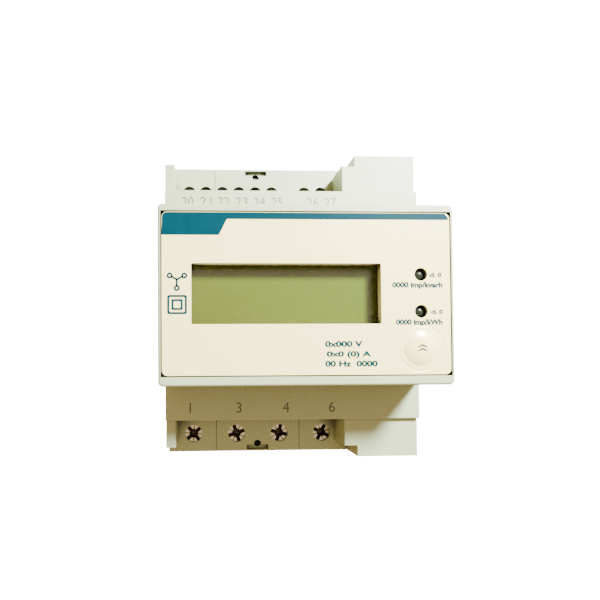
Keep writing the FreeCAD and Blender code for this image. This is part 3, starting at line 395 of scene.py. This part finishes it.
def thickened(built, thickness):
    """Gives a drawing that faces -Y a thickness towards -Y."""
    faces = list(built.faces)
    grown = bmesh.ops.extrude_face_region(built, geom=faces, use_keep_orig=True)
    moved = [item for item in grown["geom"] if isinstance(item, bmesh.types.BMVert)]
    bmesh.ops.translate(built, verts=moved, vec=(0, -thickness, 0))
    return built


INK = 0.03 * MM
DIGIT_HEIGHT = 0.729        # of a digit in Blender's built-in face at size 1


def print_shape(name, outlines, y, material, body="case", thickness=INK):
    """A flat printed or pressed shape on a surface that faces -Y."""
    built = thickened(stood_up(filled(outlines), y), thickness)
    piece = finished(built, name, material)
    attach(piece, body)
    return piece


def print_text(name, words, x, z, height, y, material, width=None, thin=0.0, body="case"):
    """Text in an upright sans face: x and z are its lower left corner, height is a digit's.

    A positive thin makes the strokes lighter, a negative one makes them bolder.
    """
    curve = bpy.data.curves.new(name, "FONT")
    curve.body = words
    curve.offset = -thin
    curve.resolution_u = 4
    holder = new_object("words", curve)
    graph = bpy.context.evaluated_depsgraph_get()
    mesh = bpy.data.meshes.new_from_object(holder.evaluated_get(graph))
    bpy.data.objects.remove(holder)
    built = bmesh.new()
    built.from_mesh(mesh)
    bpy.data.meshes.remove(mesh)
    left = min(vertex.co.x for vertex in built.verts)
    right = max(vertex.co.x for vertex in built.verts)
    up_scale = height / DIGIT_HEIGHT
    across_scale = up_scale if width is None else width / (right - left)
    for vertex in built.verts:
        vertex.co = ((vertex.co.x - left) * across_scale + x, vertex.co.y * up_scale + z, 0)
    built = thickened(stood_up(built, y), INK)
    piece = finished(built, name, material)
    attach(piece, body)
    return piece


# ---------------------------------------------------------------- front foil with its dome

DOME_STEPS = 96
DOME_RINGS = 24
DOME_FOOT = 0.25
DOME_FULLNESS = 2.6
EMBOSS_STEPS = 8
EMBOSS_RADIUS = 5.55
EMBOSS_WIDTH = 0.35
EMBOSS_SINK = 0.05
PATCH_RADIUS = 6.0
PRINT_ROOM = 0.02           # from the front of the CAD dome back to this dome's apex
FOIL_CORNER = 1.3
FOIL_THICKNESS = 0.19
WINDOW_CORNER = 0.35
LAMP_HOLE_RADIUS = 1.575
WELD_DISTANCE = 0.002


def dome_profile():
    """(radius, rise in front of the foil) from the outer edge of the pressed patch to the apex."""
    radius = DOME_RADIUS / MM
    height = (FOIL_Y - DOME_LOW.y) / MM - PRINT_ROOM
    profile = [(PATCH_RADIUS, 0.0)]
    for step in range(EMBOSS_STEPS + 1):
        share = step / EMBOSS_STEPS
        across = EMBOSS_RADIUS + EMBOSS_WIDTH * (0.5 - share)
        profile.append((across, -EMBOSS_SINK * math.sin(math.pi * share)))
    profile.append((radius + DOME_FOOT, 0.0))
    for step in range(DOME_RINGS):
        share = step / DOME_RINGS
        profile.append((radius * (1 - share), height * (1 - (1 - share) ** DOME_FULLNESS)))
    return profile


def foil_piece(material):
    """The foil as one sheet: window, lamp holes and the button's dome pressed in it."""
    left, right = FOIL_LOW.x / MM, FOIL_HIGH.x / MM
    low, high = FOIL_LOW.z / MM, FOIL_HIGH.z / MM
    centre = (DOME_CENTRE.x / MM, DOME_CENTRE.z / MM)
    window = [PANE_LOW.x + PANE_MARGIN, PANE_HIGH.x - PANE_MARGIN,
              PANE_LOW.z + PANE_MARGIN, PANE_HIGH.z - PANE_MARGIN]
    outlines = [rounded(left, right, low, high, FOIL_CORNER),
                rounded(*[value / MM for value in window], WINDOW_CORNER),
                ring_points(centre, PATCH_RADIUS, DOME_STEPS)]
    for lamp in ("pulse_led_upper", "pulse_led_lower"):
        place = centre_of(lamp)
        outlines.append(ring_points((place.x / MM, place.z / MM), LAMP_HOLE_RADIUS, 40))
    built = stood_up(filled(outlines), FOIL_Y)
    rings = []
    for radius, rise in dome_profile():
        ring = []
        for across, up in ring_points(centre, radius, DOME_STEPS):
            ring.append(built.verts.new((across * MM, FOIL_Y - rise * MM, up * MM)))
        rings.append(ring)
    apex = built.verts.new((centre[0] * MM, DOME_LOW.y + PRINT_ROOM * MM, centre[1] * MM))
    for outer, inner in zip(rings, rings[1:]):
        for step in range(DOME_STEPS):
            after = (step + 1) % DOME_STEPS
            built.faces.new((outer[step], outer[after], inner[after], inner[step]))
    for step in range(DOME_STEPS):
        built.faces.new((rings[-1][step], rings[-1][(step + 1) % DOME_STEPS], apex))
    bmesh.ops.remove_doubles(built, verts=built.verts, dist=WELD_DISTANCE * MM)
    piece = finished(built, "printed_foil", material, smooth=True)
    for face in piece.data.polygons:
        face.use_smooth = len(face.vertices) == 4 or near_dome(face.center)
    turn_to_front(piece)
    solid = piece.modifiers.new("thickness", "SOLIDIFY")
    solid.thickness = FOIL_THICKNESS * MM
    solid.offset = -1
    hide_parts("front_foil", "button_dome")
    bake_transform(piece)
    return piece


def near_dome(point):
    """True inside the patch of the foil that the dome is pressed in."""
    return math.hypot(point.x - DOME_CENTRE.x, point.z - DOME_CENTRE.z) < PATCH_RADIUS * MM


def turn_to_front(piece):
    """Makes all faces of an open sheet look towards -Y."""
    built = bmesh.new()
    built.from_mesh(piece.data)
    wrong = [face for face in built.faces if face.normal.y > 0]
    bmesh.ops.reverse_faces(built, faces=wrong)
    built.to_mesh(piece.data)
    built.free()


# ---------------------------------------------------------------- printing on the foil

MARK_THICKNESS = 0.05
MARK_BACK = 0.052           # from the front of the CAD dome back to the back of the mark
RATING_THIN = -0.045
NUMBER_THIN = 0.003


def teal_banner(ink):
    """The banner at the top left, with its sloping end and the strip that runs on to the right."""
    left, right, low, high = -35.0, 35.0, 14.33, 19.8
    strip_low = 18.2
    points = [(left, low), (-21.3, low), (-19.4, strip_low - 0.1), (-19.25, strip_low)]
    points += [(right - 0.18, strip_low + 0.02), (right - 0.5, 19.05), (right - 1.2, high)]
    points += arc((left + 1.3, high - 1.2), 1.2, 90, 180, 6)
    print_shape("banner_print", [points], FOIL_Y, ink)


def double_square(ink):
    """One square outline inside another, with round corners."""
    outer = (-33.7, -29.0, -4.7, -0.1)
    inner = (-32.7, -30.0, -3.7, -1.1)
    line = 0.5
    for name, (left, right, low, high), radius in (("outer", outer, 0.5), ("inner", inner, 0.3)):
        outlines = [rounded(left, right, low, high, radius),
                    rounded(left + line, right - line, low + line, high - line, radius / 2)]
        print_shape(f"insulation_mark_{name}", outlines, FOIL_Y, ink)


def capsule(start, end, width):
    """Outline of a straight line with round ends."""
    run = Vector((end[0] - start[0], end[1] - start[1]))
    angle = math.degrees(math.atan2(run.y, run.x))
    return arc(end, width / 2, angle - 90, angle + 90, 6) + arc(start, width / 2, angle + 90, angle + 270, 6)


def network_mark(ink):
    """Three small rings joined at a star point."""
    line = 0.46
    ring = 0.72
    star = (-31.4, 3.6)
    for number, centre in enumerate(((-33.1, 4.55), (-29.6, 4.55), (-31.4, 1.55))):
        outlines = [ring_points(centre, ring, 28), ring_points(centre, ring - line, 28)]
        print_shape(f"network_mark_ring_{number}", outlines, FOIL_Y, ink)
        away = Vector(star) - Vector(centre)
        start = Vector(centre) + away.normalized() * (ring - line / 3)
        print_shape(f"network_mark_line_{number}", [capsule(start, star, line)], FOIL_Y, ink)


def button_mark(ink):
    """Two small arrowheads, one above the other, on the button's dome."""
    centre = DOME_CENTRE.x / MM
    for number, z in enumerate((-13.75, -12.85)):
        half, rise, line = 1.3, 0.75, 0.42
        foot = line * 1.4
        points = [(centre - half, z), (centre - half + foot, z), (centre, z + rise - line),
                  (centre + half - foot, z), (centre + half, z), (centre, z + rise)]
        print_shape(f"button_mark_{number}", [points], DOME_LOW.y + MARK_BACK * MM, ink,
                    body="button", thickness=MARK_THICKNESS * MM)


def ratings(ink):
    """Generic ratings: zeros stand for the values that a maker would print."""
    rows = (
        ("reactive_rate_print", "0000 imp/kvarh", 20.7, 1.75, 1.25, 12.4),
        ("reactive_class_print", "cl. 0", 29.9, 4.3, 1.0, 3.0),
        ("active_rate_print", "0000 imp/kWh", 21.5, -7.3, 1.25, 11.5),
        ("active_class_print", "cl. 0", 30.2, -4.7, 1.0, 2.9),
        ("voltage_print", "0x000 V", 4.1, -12.6, 1.35, 9.2),
        ("current_print", "0x0 (0) A", 4.5, -14.95, 1.25, 10.85),
        ("frequency_print", "00 Hz  0000", 4.1, -17.35, 1.35, 12.8),
    )
    for name, words, x, z, height, width in rows:
        print_text(name, words, x, z, height, FOIL_Y, ink, width=width,
                   thin=RATING_THIN)


def terminal_numbers(ink):
    """Numbers moulded on the bands beside the terminals that they name, drawn as thin dark strokes whose
    colour is painted shade of their relief.
    """
    for number in POWER_TERMINALS:
        x = centre_of(f"power_screw_{number}").x / MM
        print_text(f"terminal_number_{number}", number, x - 0.75, -30.4, 3.0, BAND_Y, ink,
                   thin=NUMBER_THIN)
    for number in SIGNAL_TERMINALS:
        x = centre_of(f"signal_screw_{number}").x / MM
        print_text(f"terminal_number_{number}", number, x - 1.7, 27.9, 2.75, BAND_Y, ink,
                   width=3.3, thin=NUMBER_THIN)


# ---------------------------------------------------------------- clip spring

def spring_piece(material):
    """Compression spring in the clip's window, with closed end turns."""
    low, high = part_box("clip_spring")
    centre = (low + high) / 2
    wire = 0.25 * MM
    mean = (high.x - low.x) / 2 - wire
    turns, sides, rings = 9, 10, 40
    end_pitch = wire * 1.8
    bottom, top = low.z + wire, high.z - wire
    path = []
    count = turns * rings
    for step in range(count + 1):
        share = step / count
        angle = share * turns * math.tau
        rise = min(max((share * turns - 1) / (turns - 2), 0), 1)
        z = bottom + end_pitch * min(share * turns, 1)
        z += (top - bottom - end_pitch * 2) * rise
        z += end_pitch * max(share * turns - turns + 1, 0)
        path.append(Vector((centre.x + mean * math.cos(angle), centre.y + mean * math.sin(angle), z)))
    built = bmesh.new()
    loops = []
    for step, point in enumerate(path):
        ahead = path[min(step + 1, count)] - path[max(step - 1, 0)]
        ahead.normalize()
        outward = Vector((point.x - centre.x, point.y - centre.y, 0)).normalized()
        across = ahead.cross(outward).normalized()
        loop = []
        for side in range(sides):
            angle = side / sides * math.tau
            away = outward * math.cos(angle) + across * math.sin(angle)
            loop.append(built.verts.new(point + away * wire))
        loops.append(loop)
    for loop, after in zip(loops, loops[1:]):
        for side in range(sides):
            nxt = (side + 1) % sides
            built.faces.new((loop[side], loop[nxt], after[nxt], after[side]))
    built.faces.new(loops[0])
    built.faces.new(loops[-1])
    piece = finished(built, "clip_spring_coil", material, smooth=True)
    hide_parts("clip_spring")
    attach(piece, "case")
    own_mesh(piece)


# ---------------------------------------------------------------- stage

CAMERA_PLACE = (-24.043, -160.706, -16.146)
CAMERA_TURN = (-0.019, -0.005, 0.033)       # pitch, yaw and roll in radians
CAMERA_LENS = 25.366
CAMERA_SHIFT = (0.13, 0.09)
SENSOR_WIDTH = 36
CLIP_RANGE = (0.01, 50)
LIGHT_TARGET = (0, -0.05, 0)
ROOM_COLOUR = (1.0, 0.58, 0.25, 1)
ROOM_STRENGTH = 1.05
BACKDROP_STRENGTH = 20
FLOOR_RADIUS = 0.45
FLOOR_PLACE = (0, -0.1, -1.2)


def camera():
    """The photograph's viewing angle: close, a little to the left and a little below the middle."""
    pitch, yaw, roll = CAMERA_TURN
    turn = Matrix.Rotation(roll, 3, "Z") @ Matrix.Rotation(pitch, 3, "X") @ Matrix.Rotation(yaw, 3, "Y")
    data = bpy.data.cameras.new("camera")
    data.lens = CAMERA_LENS
    data.sensor_width = SENSOR_WIDTH
    data.shift_x, data.shift_y = CAMERA_SHIFT
    data.clip_start, data.clip_end = CLIP_RANGE
    made = new_object("camera", data)
    rows = [turn[0], turn[2], -turn[1]]
    axes = Matrix(rows).transposed().to_4x4()
    axes.translation = Vector(CAMERA_PLACE) * MM
    made.matrix_world = axes
    bpy.context.scene.camera = made


def light_from(name, towards, distance, size, watts, colour):
    """A soft round light at a distance from the meter in one direction, turned to face it."""
    data = bpy.data.lights.new(name, "AREA")
    data.shape = "DISK"
    data.size = size
    data.energy = watts
    data.color = colour
    made = new_object(name, data)
    direction = Vector(towards).normalized()
    made.location = Vector(LIGHT_TARGET) + direction * distance
    made.rotation_mode = "QUATERNION"
    made.rotation_quaternion = direction.to_track_quat("Z", "Y")


def lights():
    """A near key light from the upper right, a pale card in front and a soft fill from behind."""
    light_from("key_light", (0.177, -0.240, 0.196), 0.356, 0.085, 11.4, (1, 1, 1))
    light_from("front_card", (0.17, -1, 0.08), 1.5, 1.3, 3.0, (0.9, 1, 1))
    light_from("back_fill", (-0.9, 1.0, 0.5), 1.5, 1.0, 40, (1, 0.97, 0.92))


def surroundings():
    """A warm room, seen by the camera as a white backdrop."""
    world = bpy.data.worlds.new("studio")
    bpy.context.scene.world = world
    world.use_nodes = True
    tree = world.node_tree
    tree.nodes.clear()
    path = tree.nodes.new("ShaderNodeLightPath")
    room = tree.nodes.new("ShaderNodeBackground")
    room.inputs["Color"].default_value = ROOM_COLOUR
    room.inputs["Strength"].default_value = ROOM_STRENGTH
    backdrop = tree.nodes.new("ShaderNodeBackground")
    backdrop.inputs["Color"].default_value = (1, 1, 1, 1)
    backdrop.inputs["Strength"].default_value = BACKDROP_STRENGTH
    mix = tree.nodes.new("ShaderNodeMixShader")
    out = tree.nodes.new("ShaderNodeOutputWorld")
    tree.links.new(path.outputs["Is Camera Ray"], mix.inputs["Fac"])
    tree.links.new(room.outputs["Background"], mix.inputs[1])
    tree.links.new(backdrop.outputs["Background"], mix.inputs[2])
    tree.links.new(mix.outputs["Shader"], out.inputs["Surface"])


def floor():
    """A plain pale disc, well below the meter."""
    built = bmesh.new()
    bmesh.ops.create_circle(built, cap_ends=True, segments=96, radius=FLOOR_RADIUS)
    paint = Paint("floor", Roughness=0.7)
    paint.mottle((0.85, 0.85, 0.83), 8, 0.01)
    piece = finished(built, "floor", paint.material)
    piece.location = FLOOR_PLACE


# ---------------------------------------------------------------- build

def dress_frame(materials):
    """Every CAD node takes the finish of its slot."""
    for subpart in frame["record"]["subparts"]:
        node = NODES[subpart["node"]]
        material = materials[subpart["material_slot"]]
        if not node.data.materials:
            node.data.materials.append(material)
        for slot in node.material_slots:
            slot.material = material


def build():
    materials = make_materials()
    inks = make_inks()
    dress_frame(materials)
    foil_piece(materials["foil"])
    teal_banner(inks["teal"])
    double_square(inks["teal"])
    network_mark(inks["teal"])
    button_mark(inks["teal"])
    ratings(inks["teal"])
    terminal_numbers(inks["number_shade"])
    spring_piece(materials["spring_steel"])
    camera()
    lights()
    surroundings()
    floor()


build()
